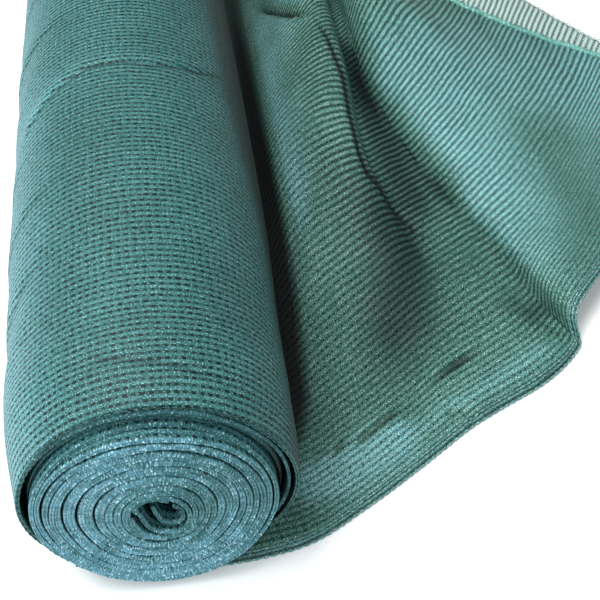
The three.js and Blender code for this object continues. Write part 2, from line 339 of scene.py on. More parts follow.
def knit_net(name, deep, middle, pale, glint, sky_reflection, opening_size, tape_height, holes):
    """Knitted net drawn on its flat place: chains of stitches 4.2 mm apart with flat tapes between
    them, which leave an opening every 4.5 mm. With holes the openings let light through."""
    shader = Shader(name)
    place = shader.node("UVMap", {"uv_map": "knit"})
    split = shader.node("SeparateXYZ", {}, {0: place})
    along, across = split, Wire(shader, split.socket.node.outputs[1])
    # The shade attribute holds painted light above 0 and painted shade below 0; above 1 the net is also more
    # open.
    shade = shader.node("Attribute", {"attribute_name": "shade"}, {}, 2)
    painted_light = shade.rises(0.0, 1.0)
    painted_shade = (0.0 - shade).rises(0.0, 1.0)
    calm = shader.node("Attribute", {"attribute_name": "calm"}, {}, 2)
    drift = shader.noise(place, 45.0) - 0.5
    wobble = shader.noise(place, 210.0, 1.0) - 0.5
    row = across / WALE + drift * 0.35 + wobble * 0.12
    row_shift = shader.node("TexWhiteNoise", {"noise_dimensions": "1D"}, {"W": row.whole()})
    cell = along / MESH + row_shift * 0.3 + drift * 0.9 + wobble * 0.5
    which = shader.node("CombineXYZ", {}, {0: cell.whole(), 1: row.whole()})
    own = shader.node("TexWhiteNoise", {"noise_dimensions": "2D"}, {"Vector": which})
    mottle = shader.noise(place, 330.0, 1.0)
    fleck = shader.noise(place, 1200.0, 1.0)
    grow = own * 0.4 + (mottle - 0.5) * 0.5 + 0.72 + shade.rises(1.0, 2.0) * 0.8 - calm * 0.3
    from_middle = abs(row.fract() - 0.5)
    from_opening = abs(cell.fract() - 0.5)
    reach = (from_opening / (grow * opening_size[0])) ** 4.0 + (from_middle / (grow * opening_size[1])) ** 4.0
    opening = 1.0 - reach.rises(0.5, 1.5)
    chain = from_middle.rises(0.15, 0.36)
    stitches = (cell * (4.0 * np.pi)).sine() * 0.5 + 0.5
    streaks = ((cell * 3.0 + row * 2.0) * (2.0 * np.pi)).sine() * 0.5 + 0.5
    tape = (1.0 - chain) * (1.0 - opening) * (streaks * 0.5 + 0.5) * (calm * 0.75 + tape_height)
    height = chain * (stitches * 0.3 + 0.7) * (1.0 - calm * 0.2) + tape
    patches = shader.noise(place, 16.0, 3.0)
    tone = height * 0.6 + (mottle - 0.5) * 0.7 + (fleck - 0.5) * 1.1 + (patches - 0.5) * 0.4
    colour = shader.blend(tone.rises(-0.1, 0.42), deep, middle)
    colour = shader.blend(tone.rises(0.36, 0.95), colour, pale)
    # Painted light: a blend towards the bluish reflection colour where the shade attribute is above 0.
    colour = shader.blend(painted_light * (tone.rises(0.0, 0.9) * 0.75 + 0.1), colour, sky_reflection)
    # Painted glints on the raised stitches, a few more where there is painted light.
    colour = shader.blend((fleck + painted_light * 0.05).rises(0.6, 0.72) * (height * 0.8 + 0.1), colour, glint)
    # Where the shade attribute is above 1, on the lone lower layer beyond the upper cut, painted light
    # whitens the threads.
    colour = shader.blend(shade.rises(1.0, 2.0) * (height * 0.5 + 0.2), colour, (0.6, 0.72, 0.66, 1.0))
    # Painted shade below 0: towards a near-black copy of the deepest colour, keeping some of the stitches.
    painted_dark = tuple(0.3 * part for part in deep[:3]) + (1.0,)
    colour = shader.blend(painted_shade * (1.0 - height * 0.35), colour, painted_dark)
    # Painted shadow, almost black, where the shade attribute is far below 0.
    colour = shader.blend((0.0 - shade).rises(0.8, 1.9) * 0.95, colour, (0.0, 0.001, 0.001, 1.0))
    # Without real holes the openings are painted near black, for the shade of the turns beneath them.
    if not holes:
        colour = shader.blend(opening * (own * 0.5 + 0.45), colour, painted_dark)
    bump = shader.node("Bump", {}, {"Strength": 0.6, "Distance": 0.0006, "Height": height + fleck * 0.3})
    values = {"Base Color": colour, "Roughness": 0.55, "Normal": bump, "Specular IOR Level": 0.25}
    if holes:
        values["Alpha"] = 1.0 - opening
    return shader.finish(shader.node("BsdfPrincipled", {}, values))


DEEP = (0.003, 0.026, 0.026, 1.0)
MIDDLE = (0.022, 0.105, 0.102, 1.0)
PALE = (0.085, 0.24, 0.235, 1.0)
# Colours of the painted glints and of the painted bluish reflection of the daylight.
GLINT = (0.4, 0.65, 0.66, 1.0)
SKY_REFLECTION = (0.16, 0.42, 0.5, 1.0)
wound_net = knit_net("wound net", DEEP, MIDDLE, PALE, GLINT, SKY_REFLECTION, (0.26, 0.2), 0.5, False)
roll_body.data.materials.append(wound_net)
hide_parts("wound_roll")
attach(roll_body, "root")


# The folded edges of the turns at the front end, one long spiral of doubled net.
# Each turn stands a little further out or in than its neighbours, and the last ones sit back.
# The middle is collapsed: its first turn is pinched to a point and the net's inner end curls inside.
TURN_PITCH = 3.5
BEAD = 5.0
SAMPLES_PER_BEAD = 5
EDGE_SPAN = 3.2
# Section of one folded edge: distance across it and how far it lies back from its front.
edge_section = np.array([[-1.6, 14.0], [-1.6, 1.9], [-1.45, 0.75], [-0.85, 0.0], [-0.3, 0.6], [0.0, 1.2],
                         [0.3, 0.6], [0.85, 0.0], [1.45, 0.75], [1.6, 1.9], [1.6, 14.0]])


def through(places, steps):
    """Centripetal spline through the places, as lists of points, with the given steps in each span."""
    ends = [2 * places[0] - places[1]] + places + [2 * places[-1] - places[-2]]
    lines = []
    for span, count in enumerate(steps):
        before, start, stop, after = ends[span:span + 4]
        pairs = ((before, start), (start, stop), (stop, after))
        gaps = [np.linalg.norm((b - a)[:, :3], axis=1)[:, None] ** 0.5 for a, b in pairs]
        leave = (start - before) / gaps[0] - (stop - before) / (gaps[0] + gaps[1]) + (stop - start) / gaps[1]
        arrive = (stop - start) / gaps[1] - (after - start) / (gaps[1] + gaps[2]) + (after - stop) / gaps[2]
        leave, arrive = leave * gaps[1], arrive * gaps[1]
        for t in np.arange(count) / count:
            lines.append(start + leave * t + (3 * (stop - start) - 2 * leave - arrive) * t ** 2
                         + (2 * (start - stop) + leave + arrive) * t ** 3)
    lines.append(places[-1])
    return np.stack(lines, 1)


def wavy(place, seed, waves=5, lowest=1.0, highest=3.0):
    """Sum of a few sine waves with random speeds and starts, about 1 high at most."""
    draw = np.random.default_rng(seed)
    speeds = draw.uniform(lowest, highest, waves)
    starts = draw.uniform(0.0, 2.0 * np.pi, waves)
    return sum(np.sin(speed * place + start) for speed, start in zip(speeds, starts)) / waves ** 0.5


def edge_strip(name, x, height, set_back, width, lobe_light_and_shade, lowest=0.5, at_back=False):
    """Doubled edge carried along a line in an end face: a two-lobed section, square to the line,
    whose lobes swell at every bead. The shade given for each point is painted on the lobes:
    painted light above 0, painted shade below 0."""
    ahead = np.stack([np.gradient(x), np.gradient(height)], -1)
    step = np.linalg.norm(ahead, axis=-1)
    outward = np.stack([ahead[:, 1], -ahead[:, 0]], -1) / step[:, None]
    phase = 2.0 * np.pi * np.cumsum(step) / BEAD
    lobes = np.exp(-((np.abs(edge_section[:, 0]) - 0.85) / 0.45) ** 2)
    shifted = np.where(edge_section[:, 0] > 0, 1.7, 0.0)
    swell = 0.5 + 0.5 * np.cos(phase[:, None] + shifted)
    off = edge_section[:, 0] * width[:, None]
    back = edge_section[:, 1] - lobes * 0.35 * swell + set_back[:, None]
    across = x[:, None] + outward[:, :1] * off
    up = np.maximum(lowest, height[:, None] + outward[:, 1:] * off)
    points = np.stack([across, ROLL_LENGTH - back if at_back else back, up], -1)
    count = len(edge_section)
    faces = grid_faces(len(x), count, True)
    caps = [list(range(count)), list(range(len(x) * count - 1, (len(x) - 1) * count - 1, -1))]
    pieces = np.linalg.norm(np.diff(edge_section, axis=0), axis=1)
    from_end = np.concatenate([[0.0], np.cumsum(pieces)])
    rows = np.abs(from_end - from_end[count // 2])
    rows = np.where(rows < 3.7, 0.45 * rows, rows - 2.03)
    knit = np.stack(np.broadcast_arrays((phase * BEAD / (2 * np.pi))[:, None], rows), -1)
    # Painted light and shade: full on the lobes, none at the top of the walls, a little reversed deep down.
    on_lobe = 1.0 - smooth(1.3, 1.9, edge_section[:, 1]) - 0.3 * smooth(1.9, 14.0, edge_section[:, 1])
    shade = (lobe_light_and_shade + 0.2 * wavy(phase, 31, 7, 0.02, 0.3))[:, None] * on_lobe
    faces = faces[:, ::-1].tolist() + caps
    if at_back:
        faces = [face[::-1] for face in faces]
    return new_piece(name, points, faces, knit, shade)


TURNS = 19.0
FIRST_TURN = 5.8
SAG = 5.5
samples = int(np.pi * TURN_PITCH * (TURNS ** 2 - FIRST_TURN ** 2) / BEAD * SAMPLES_PER_BEAD)
turns = np.sqrt(np.linspace(FIRST_TURN ** 2, TURNS ** 2, samples))
spiral_angle = np.radians(turns * 360.0 + 250.0)
degrees = np.degrees(spiral_angle) % 360.0
pulled = 1.0 - smooth(5.5, 13.0, turns)
uneven = (0.35 + 0.5 * pulled) * wavy(spiral_angle, 5, 9, 0.3, 3.1)
spiral_radius = TURN_PITCH * turns - EDGE_SPAN / 2 + uneven
spiral_x = spiral_radius * np.cos(spiral_angle) * (1.0 - 0.15 * pulled) + 2.0 * pulled
spiral_height = spiral_radius * np.sin(spiral_angle) - 5.5 * pulled + face_height
shoulder = 1.6 * smooth(16.3, 18.2, turns) + 6.3 * smooth(17.9, 18.25, turns) * hump(degrees, 85.0, 95.0)
spiral_back = 0.9 + 0.55 * wavy(spiral_angle, 3, 11, 0.3, 2.6) + 0.25 * wavy(spiral_angle, 4, 9, 3.0, 9.0)
sagging = smooth(0.25, 1.0, -np.sin(spiral_angle)) * smooth(6.0, 17.5, turns) * smooth(18.9, 18.6, turns)
spiral_back = np.maximum(0.4, spiral_back + shoulder) - SAG * sagging
to_next = np.full(samples, TURN_PITCH)
for other in (-1.0, 1.0):
    beside_x, beside_height = (np.interp(turns + other, turns, line) for line in (spiral_x, spiral_height))
    inside = (turns + other > FIRST_TURN) & (turns + other < TURNS)
    apart = np.hypot(beside_x - spiral_x, beside_height - spiral_height)
    to_next = np.where(inside, to_next + 0.5 * (apart - TURN_PITCH), to_next)
spiral_width = 0.97 * to_next / EDGE_SPAN - 0.14 * smooth(15.5, 17.0, turns) * hump(degrees, 190.0, 80.0)
spiral_width = np.where(turns < TURNS - 0.9, spiral_width, 0.85)
# Painted light on the front edges, less of it and painted shade on top of the outer turns, in the collapsed
# middle and on the right side, and more painted light low down.
spiral_light_and_shade = 0.6 - 0.8 * smooth(17.7, 18.2, turns) * hump(degrees, 85.0, 100.0) - 0.3 * pulled
spiral_light_and_shade = spiral_light_and_shade - 0.3 * smooth(-0.3, 1.0, np.cos(spiral_angle))
spiral_light_and_shade = spiral_light_and_shade + 0.15 * smooth(0.2, -0.8, np.sin(spiral_angle))
turn_edges = edge_strip("turned_edges", spiral_x, spiral_height, spiral_back, spiral_width, spiral_light_and_shade)

# The turn inside the loose one, from the upper left over the top to the lower right.
LOOSE_START = 164.0
LOOSE_STOP = -45.0
loose_angle = np.radians(np.linspace(LOOSE_START, LOOSE_STOP, 360))
loose_degrees = np.degrees(loose_angle)
loose_radius = 68.2 + 2.0 * hump(loose_degrees, -5.0, 60.0)
loose_x = loose_radius * np.cos(loose_angle)
loose_height = 71.0 + loose_radius * np.sin(loose_angle)
hidden_end = np.maximum(smooth(150.0, LOOSE_START, loose_degrees), smooth(-25.0, LOOSE_STOP, loose_degrees))
loose_back = 9.6 + 20.0 * hidden_end + 0.3 * wavy(loose_angle, 14, 7, 2.0, 9.0)
even_loose = np.ones_like(loose_angle)
# Slight painted shade on the loose turn's edges.
loose_turn = edge_strip("loose_turn", loose_x, loose_height, loose_back, 0.6 * even_loose, -0.1 * even_loose)

# The same edges at the back end, wound evenly from the middle outwards.
BACK_FIRST = 0.7
BACK_TURNS = 21.8
back_turns = np.sqrt(np.linspace(BACK_FIRST ** 2, BACK_TURNS ** 2, 3200))
back_angle = np.radians(back_turns * 360.0)
back_radius = TURN_PITCH * back_turns - EDGE_SPAN / 2 + 0.3 * wavy(back_angle, 15, 9, 0.3, 3.1)
back_x = back_radius * np.cos(back_angle)
back_up = back_height + back_radius * np.sin(back_angle)
back_set = 1.0 + 0.4 * wavy(back_angle, 16, 9, 0.3, 2.6)
even_back = np.ones_like(back_angle)
# Painted light on the back edges' lobes.
back_edges = edge_strip("back_edges", back_x, back_up, back_set, 1.05 * even_back, 0.4 * even_back,
                        REST_HEIGHT + 0.5, True)


def face_line(places, steps):
    """Smooth line through places in the end face, given as distance sideways and height."""
    line = through([np.array([[x, up, 0.0]]) for x, up in places], [steps] * (len(places) - 1))[0]
    return line[:, 0], line[:, 1]


# The pinched first turn, round the hollow in the middle, and the net's inner end curled inside it.
first_x, first_height = face_line(
    [(6.5, 72.5), (1, 76), (-5, 75.8), (-9.5, 73), (-12, 69), (-9.5, 64.5), (-8, 58), (-5.5, 51.5),
     (-1.5, 47.2), (4, 45.3), (10, 46), (14.5, 50), (16.3, 57), (15.6, 65), (12.3, 72), (6.5, 77.5),
     (0, 79.6), (-7, 78.6), (-12.8, 74.3), (-15.2, 67.5), (-15.6, 62)], 7)
along_first = np.linspace(0.0, 1.0, len(first_x))
# Painted light growing along the first turn.
first_turn = edge_strip("first_turn", first_x, first_height, 2.6 - 1.4 * along_first,
                        0.85 + 0.1 * along_first, 0.35 * along_first)
curl_x, curl_height = face_line([(-2.3, 66), (-0.9, 60.1), (0.9, 54.8), (4.4, 52.4), (9.1, 51.8),
                                 (12.2, 54.7), (12.9, 60), (11.6, 66), (8.6, 69)], 7)
along_curl = np.linspace(0.0, 1.0, len(curl_x))
# Painted light on the inner end, turning to painted shade as it curls inside.
inner_curl = edge_strip("inner_curl", curl_x, curl_height, 4.2 - 2.0 * along_curl, 0.75 + 0.0 * along_curl,
                        0.2 - 0.6 * along_curl)
# The end faces' net: its colours are bluer and lighter than the wound net's, painted light for the daylight
# on them.
edge_net = knit_net("wound edges", (0.005, 0.035, 0.038, 1.0), (0.032, 0.13, 0.138, 1.0),
                    (0.11, 0.3, 0.33, 1.0), (0.6, 0.82, 0.88, 1.0), (0.2, 0.47, 0.6, 1.0),
                    (0.2, 0.16), 0.5, False)
for piece in (turn_edges, loose_turn, back_edges, first_turn, inner_curl):
    piece.data.materials.append(edge_net)
    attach(piece, "root")


# The selvedge along the front edge, a row of small knots on each of the two layers.
# It runs round the lip of the last turn and on along the free end.
LIP_SPACING = 0.7


def unit(vectors):
    """Vectors of length 1 in the same directions."""
    return vectors / np.linalg.norm(vectors, axis=-1)[..., None]


def knotted_cord(name, line, thickness, pitch, sides=6):
    """Tube along a line, square to it, that swells once in every pitch. Its ends are closed."""
    ahead = np.gradient(line, axis=0)
    step = np.linalg.norm(ahead, axis=1)
    ahead = ahead / step[:, None]
    phase = 2.0 * np.pi * np.cumsum(step) / pitch
    lean = np.array([0.35, 1.0, 0.0])
    first = unit(np.cross(ahead, lean))
    second = np.cross(ahead, first)
    turn = np.linspace(0.0, 2.0 * np.pi, sides, endpoint=False)
    radius = (thickness * (0.72 + 0.28 * np.cos(phase)))[:, None, None]
    ring = first[:, None] * np.cos(turn)[None, :, None] + second[:, None] * np.sin(turn)[None, :, None]
    points = line[:, None] + radius * ring
    faces = grid_faces(len(line), sides, True)[:, ::-1].tolist()
    caps = [list(range(sides)), list(range(len(line) * sides - 1, (len(line) - 1) * sides - 1, -1))]
    knit = np.stack(np.broadcast_arrays((phase * pitch / (2 * np.pi))[:, None], 2.0 * turn / np.pi), -1)
    return new_piece(name, points, faces + caps, knit)


lip_angles = np.arange(SEAM_ANGLE - 360.0 + 60.0, SEAM_ANGLE, LIP_SPACING) % 360.0
sway = 0.35 * wavy(np.radians(lip_angles), 12, 7, 2.0, 9.0) + 2.6 * hump(lip_angles, 90.0, 95.0)
lip_lines = []
for name, inward in (("lip_knots_outer", 0.7), ("lip_knots_inner", 2.0)):
    radius = last_turn(lip_angles, LIP_SETBACK) - inward
    line = on_section(lip_angles, radius, lip_height, LIP_SETBACK - 0.1 + sway, REST_HEIGHT + 0.6)
    lip_lines.append(knotted_cord(name, line, 0.7, BEAD))
selvedge = knit_net("selvedge", (0.012, 0.055, 0.055, 1.0), (0.07, 0.2, 0.195, 1.0), (0.22, 0.42, 0.41, 1.0),
                    (0.7, 0.85, 0.85, 1.0), SKY_REFLECTION, (0.1, 0.1), 0.9, False)
for piece in lip_lines:
    piece.data.materials.append(wound_net)
    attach(piece, "root")


# The free end of the net. Both layers come out from under the roll, lie on the floor in soft folds
# and end in two cuts. The layers are one cloth, joined by the fold along the far side.
NET_THICKNESS = 1.1
LAYER_GAP = 0.4
FOLDED_WIDTH = 745.0
GATHERED_WIDTH = 639.0
EDGE_SETBACK = 5.0
WRAP_ANGLES = (SEAM_ANGLE - 3.0, 238.0, 246.0, 254.0, 262.0, 270.0)
# Lines along the roll's direction: where each starts at the front edge, where it settles and at
# what share of the width, where it ends at the far fold, and how high it lifts between which shares.
FLOOR_LINES = (
    (22, 4.5, 22, 0.5, 22, 0, 0, 1),
    (55, 6, 56, 0.5, 56, 0, 0, 1),
    (84, 12, 92, 0.3, 92, 0, 0, 1),
    (118, 30, 112, 0.4, 114, 8, 0.08, 0.45),
    (158, 55, 136, 0.4, 142, 25, 0.06, 0.5),
    (195, 79.5, 159, 0.4, 170, 36, 0.05, 0.45),
    (222, 93.5, 172, 0.35, 186, 33, 0.08, 0.42),
    (248, 106, 181, 0.35, 200, 9, 0.15, 0.4),
    (270, 121, 190, 0.45, 213, 3, 0.15, 0.4),
    (286, 138, 198, 0.5, 224, 0, 0, 1),
)
# The panel beyond the main crease: share of the way to the cut end, shift and lift at the front
# edge, and lift further in.
PANEL_LINES = ((0.05, -11, 16, 12), (0.2, -4, 20, 27), (0.5, 0, 14, 34), (0.8, 0, 6, 20), (1.0, 0, 1.6, 9))


def floor_line(share, front_x, front_y, inner_x, settle, far_x, lift, rise_from, rise_to):
    """Line that eases from its front place to its inner place, then drifts to its far place."""
    eased = np.sin(np.pi / 2 * np.minimum(1.0, share / settle))
    x = front_x + (inner_x - front_x) * eased + (far_x - inner_x) * smooth(0.6, 1.0, share)
    y = front_y + (FOLDED_WIDTH - front_y * 0.12) * share
    pinch = 6.0 * np.exp(-((y - 365.0) / 60.0) ** 2)
    x = x - pinch * smooth(60.0, 150.0, front_x) * (1 - smooth(240.0, 280.0, front_x))
    return np.stack([x, y, lift * smooth(rise_from, rise_to, share)], -1)


def cut_end(share):
    """Bowed line of the cut end over the width, which swings out towards the far fold."""
    x = 480.0 - 210.0 * share - 130.0 * 4 * share * (1 - share) + 90.0 * share ** 3
    y = 415.0 + 440.0 * share + 110.0 * share ** 3
    return np.stack([x, y, 0.0 * share], -1)


def stitch_row(share, line):
    """Which row of stitches lies at a share of the width, on the given line from the seam outwards.
    Off the roll the net is stretched over its width, most near the front, so the rows drift."""
    stretched = smooth(0.0, 0.65, share) * (1.0 - smooth(0.65, 1.0, share))
    gathered = smooth(0.0, 0.12, share) * (1.0 - smooth(0.25, 0.7, share))
    drift = -150.0 * stretched * smooth(6.0, 8.4, line) + 40.0 * gathered * smooth(14.0, 19.0, line)
    drift = drift + 25.0 * smooth(0.1, 0.4, share) * (1.0 - smooth(0.4, 0.7, share)) * smooth(9.0, 12.0, line)
    return EDGE_SETBACK + FOLDED_WIDTH * share + drift


def lower_reach(share):
    """How much further out the lower layer's cut lies than the upper's, over the width."""
    spread = 64.0 * smooth(0.0, 0.32, share) * (1 - smooth(0.45, 0.95, share))
    return 14.0 * (1 - share) + spread


def key_points(share, upper):
    """Places that the underside of one layer passes through, from the seam outwards, each with
    its row of stitches as a fourth number."""
    places = []
    for angle in WRAP_ANGLES:
        y = EDGE_SETBACK + FOLDED_WIDTH * share
        radius = turn_radius(y)
        turn = np.radians(angle)
        up = np.maximum(0.0, radius * (1 + np.sin(turn)) - 0.9)
        places.append(np.stack([radius * np.cos(turn), y, up], -1))
    places += [floor_line(share, *line) for line in FLOOR_LINES]
    crease = places[-1]
    end = cut_end(share)
    inner = smooth(0.0, 0.4, share)
    for part, front_shift, front_lift, inner_lift in PANEL_LINES:
        place = crease + (end - crease) * part
        place[:, 0] += front_shift * (1 - smooth(0.0, 0.15, share))
        place[:, 2] = front_lift + (inner_lift - front_lift) * inner
        places.append(place)
    if not upper:
        places[-1][:, 2] *= share
        places[-1] += unit(end - crease) * lower_reach(share)[:, None]
        places[-2][:, 2] *= 0.55 + 0.45 * share
    return [np.column_stack([place, stitch_row(share, line)]) for line, place in enumerate(places)]


def normals_of(grid):
    """Unit normals of a grid of points, from its neighbours in both directions."""
    return unit(np.cross(np.gradient(grid, axis=1), np.gradient(grid, axis=0)))


# Small folds of the upper layer, as places on the floor: sideways and along the roll.
PLEAT = ((158, 508), (165, 473), (168, 419), (165, 374), (165, 330), (168, 305), (180, 285), (191, 272),
         (203, 252))
KINK = ((185, 540), (190, 490), (193, 430), (207, 398), (217, 351), (230, 305), (240, 270))
KINK_FRONT = ((222, 330), (230, 305), (245, 252), (264, 200), (276, 160), (280, 140))
BORDER_CREASES = (
    ((93, 69), (110, 74), (126, 79), (144, 91), (158, 101)),
    ((170, 111), (195, 128), (222, 143)),
)
BORDER_BAND = ((150, 72), (182, 95), (195, 98), (232, 118), (258, 133), (278, 140))
NICK = ((180, 91), (198, 86))
CORNER_CREASE = ((258, 163), (271, 147), (284, 142))
CRUMPLE = ((112, 586), (125, 562), (144, 530), (160, 513))
CRUMPLE_TOP = ((134, 584), (150, 556), (170, 524))
# Lines of painted light and shade on the upper layer: how strong, how wide, and the places they pass through.
PAINTED_LIGHT_LINES = (
    (0.85, 10.0, ((110, 620), (115, 493), (114, 439), (114, 379), (114, 321), (112, 250))),
    (0.45, 16.0, ((130, 600), (132, 420), (130, 330), (122, 260))),
    (0.5, 20.0, ((108, 640), (128, 560), (138, 510), (134, 440))),
    (0.4, 13.0, ((116, 330), (118, 249), (118, 200), (118, 152), (116, 100))),
    (0.3, 7.0, BORDER_BAND),
    (1.0, 17.0, ((92, 52), (140, 76))),
    (0.95, 10.0, CRUMPLE_TOP),
)
PAINTED_SHADE_LINES = (
    (2.8, 9.0, ((94, 800), (94, 310), (91, 203), (85, 115), (76, 70))),
    (0.75, 14.0, ((236, 190), (262, 168), (282, 156))),
    (0.8, 26.0, ((168, 360), (180, 262), (180, 225), (168, 170), (145, 110))),
    (0.75, 12.0, ((184, 520), (187, 460), (190, 400), (195, 350), (204, 300), (212, 262))),
    (1.8, 1.6, PLEAT),
    (0.75, 12.0, KINK),
    (0.4, 4.5, KINK_FRONT),
    (0.8, 1.6, NICK),
    (1.0, 2.6, CORNER_CREASE),
    (2.0, 3.4, CRUMPLE),
    (1.4, 1.8, BORDER_CREASES[0]),
    (1.4, 1.8, BORDER_CREASES[1]),
)


def relief(x, y, share, upper):
    """Small folds on top of the main ones: a raised border along the selvedge, creases beside it,
    a crumple far back and slow ripples. None of it under the roll."""
    clear = smooth(100.0, 118.0, x)
    from_edge = GATHERED_WIDTH * share
    border = 1.8 * np.exp(-((from_edge - 6.0) / 3.6) ** 2)
    border = border * smooth(112.0, 150.0, x) * (1.0 - smooth(255.0, 290.0, x))
    folds = 3.6 * streak(x, y, BORDER_BAND, 7.0) - 1.5 * streak(x, y, NICK, 2.0)
    folds = folds - 2.0 * streak(x, y, CORNER_CREASE, 4.0) - 1.6 * streak(x, y, PLEAT, 2.0)
    for places in BORDER_CREASES:
        folds = folds + 2.4 * streak(x, y - 5.0, places, 4.0) + 1.6 * streak(x, y + 7.0, places, 5.0)
    folds = folds - 7.5 * streak(x, y, CRUMPLE, 5.0) + 9.0 * streak(x, y, CRUMPLE_TOP, 8.0)
    ripples = 0.5 * np.sin(x / 9.0 + y / 14.0) * np.sin(y / 23.0 - x / 31.0)
    ripples = ripples + 0.35 * np.sin(x / 5.3 - y / 12.0)
    own = 0.35 * np.sin(x / 12.0 + 2.0) * np.sin(y / 10.0) if upper else 0.0
    return clear * (border + folds + ripples * smooth(20.0, 60.0, from_edge) + own)


def end_shade(x, y, share, line):
    """Painted light and shade of the upper layer: painted light on the panel beyond the main crease and
    along the border, painted shade in the creases and a near-black painted shadow in the gap beside the roll."""
    from_edge = GATHERED_WIDTH * share
    beyond_crease = smooth(14.6, 16.0, line)
    panel = 0.7 + 0.3 * streak(x, y, ((215, 470), (240, 380), (275, 280), (290, 200)), 30.0)
    panel = panel - 0.45 * smooth(430.0, 560.0, y) - 0.5 * streak(x, y, ((310, 130), (320, 330)), 50.0)
    border = 0.22 * (1.0 - smooth(20.0, 34.0, from_edge)) * smooth(90.0, 110.0, x)
    panel = np.maximum(panel * beyond_crease, border)
    # Painted light and painted shade along the listed lines, and a little painted shade before the main
    # crease.
    pale = sum(strength * streak(x, y, places, width) for strength, width, places in PAINTED_LIGHT_LINES)
    painted_dark = sum(strength * streak(x, y, places, width) for strength, width, places in PAINTED_SHADE_LINES)
    painted_dark = painted_dark + 0.2 * (1.0 - beyond_crease) * smooth(34.0, 50.0, from_edge)
    return np.minimum(1.0, panel + pale) - painted_dark


# Both layers are drawn over the same shares of the width, denser at the front edge, and through
# the key places with these numbers of steps between one place and the next.
UPPER_SETBACK = 0.0065
shares = np.linspace(0.0, 1.0, 106) ** 1.15
span_steps = [2, 2, 2, 2, 2, 6, 8, 8, 10, 12, 11, 8, 8, 7, 8, 10, 20, 30, 30, 22]
layers = []
for upper in (False, True):
    layer_shares = UPPER_SETBACK + (1.0 - UPPER_SETBACK) * shares if upper else shares
    drawn = through(key_points(layer_shares, upper), span_steps)
    grid, rows = drawn[..., :3], drawn[..., 3]
    small_folds = relief(grid[..., 0], grid[..., 1], layer_shares[:, None], upper)
    grid[..., 2] = np.maximum(0.0, grid[..., 2] + small_folds)
    layers.append((grid, normals_of(grid), rows))
(lower_grid, lower_normal, lower_rows), (upper_grid, upper_normal, upper_rows) = layers
lower_middle = lower_grid + lower_normal * (NET_THICKNESS / 2)
upper_middle = upper_grid + upper_normal * (NET_THICKNESS * 1.5 + LAYER_GAP)
fold_centre = (lower_middle[-1] + upper_middle[-1]) / 2
fold_out = unit(lower_grid[-1] - lower_grid[-2])
fold_radius = (NET_THICKNESS + LAYER_GAP) / 2
fold = [fold_centre + fold_out * fold_radius * np.cos(a) + upper_normal[-1] * fold_radius * np.sin(a)
        for a in np.radians([-50.0, 0.0, 50.0])]
both_layers = np.concatenate([lower_middle, np.array(fold), upper_middle[::-1]])
steps = np.linalg.norm(np.diff(both_layers, axis=1), axis=-1)
from_seam = np.concatenate([np.zeros((len(both_layers), 1)), np.cumsum(steps, axis=1)], 1)
length_along = BODY_RADIUS * np.radians(SEAM_ANGLE) + from_seam
fold_rows = lower_rows[-1] + np.array([[0.8], [1.5], [2.2]])
width_across = np.concatenate([lower_rows, fold_rows, 2.0 * fold_rows[1] - upper_rows[::-1]])
end_knit = np.stack([length_along, width_across], -1)
in_spans = [number + np.arange(count) / count for number, count in enumerate(span_steps)]
line_number = np.concatenate(in_spans + [[len(span_steps)]])
upper_shade = end_shade(upper_grid[..., 0], upper_grid[..., 1], shares[:, None], line_number)
# Painted shade on the lower layer where it lies under the upper one, turned to a little painted light near
# the front edge; beyond the upper cut it takes painted light and a more open net.
left_to_end = length_along[:len(shares), -1:] - length_along[:len(shares)]
lower_shade = 2.0 - 2.6 * smooth(2.0, 8.0, left_to_end - lower_reach(shares)[:, None])
at_border = 1.0 - smooth(6.0, 14.0, GATHERED_WIDTH * shares)
lower_shade = lower_shade + 0.9 * at_border[:, None] * (lower_shade < 0.0)
end_shades = np.concatenate([lower_shade, np.zeros((3, len(line_number))), upper_shade[::-1]])
end_faces = grid_faces(*both_layers.shape[:2])[:, ::-1]
free_end = new_piece("free_end_net", both_layers, end_faces, end_knit, end_shades)

# The knit looks flatter near the front, beside the roll and low on the panel.
upper_x, upper_y = upper_grid[..., 0], upper_grid[..., 1]
near_front = 0.38 * (1.0 - smooth(200.0, 290.0, upper_y)) * (1.0 - smooth(14.0, 15.5, line_number))
near_roll = 0.45 * (1.0 - smooth(128.0, 150.0, upper_x)) * (1.0 - smooth(430.0, 560.0, upper_y))
low_panel = 0.45 * streak(upper_x, upper_y, ((310, 120), (320, 330)), 55.0) * smooth(14.6, 16.0, line_number)
upper_calm = np.maximum(np.maximum(near_front, near_roll), low_panel)
end_calm = np.zeros(both_layers.shape[:2])
end_calm[-len(shares):] = upper_calm[::-1]
free_end.data.attributes.new("calm", "FLOAT", "POINT").data.foreach_set("value", end_calm.ravel())
wall = free_end.modifiers.new("net thickness", "SOLIDIFY")
wall.thickness = 0.0007
wall.offset = 0.0
# The laid net's colours are lighter than the wound net's, as painted light on the free end; its openings are
# real holes.
laid_net = knit_net("laid net", (0.005, 0.036, 0.029, 1.0), (0.038, 0.135, 0.108, 1.0),
                    (0.25, 0.43, 0.36, 1.0), (0.62, 0.8, 0.74, 1.0), (0.22, 0.56, 0.64, 1.0),
                    (0.17, 0.11), 0.15, True)
free_end.data.materials.append(laid_net)
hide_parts("free_end")
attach(free_end, "root")


def even_steps(line, step):
    """The same line with its points at equal steps along it."""
    run = np.concatenate([[0.0], np.cumsum(np.linalg.norm(np.diff(line, axis=0), axis=1))])
    even_run = np.arange(0.0, run[-1], step)
    return np.stack([np.interp(even_run, run, line[:, axis]) for axis in range(3)], -1)


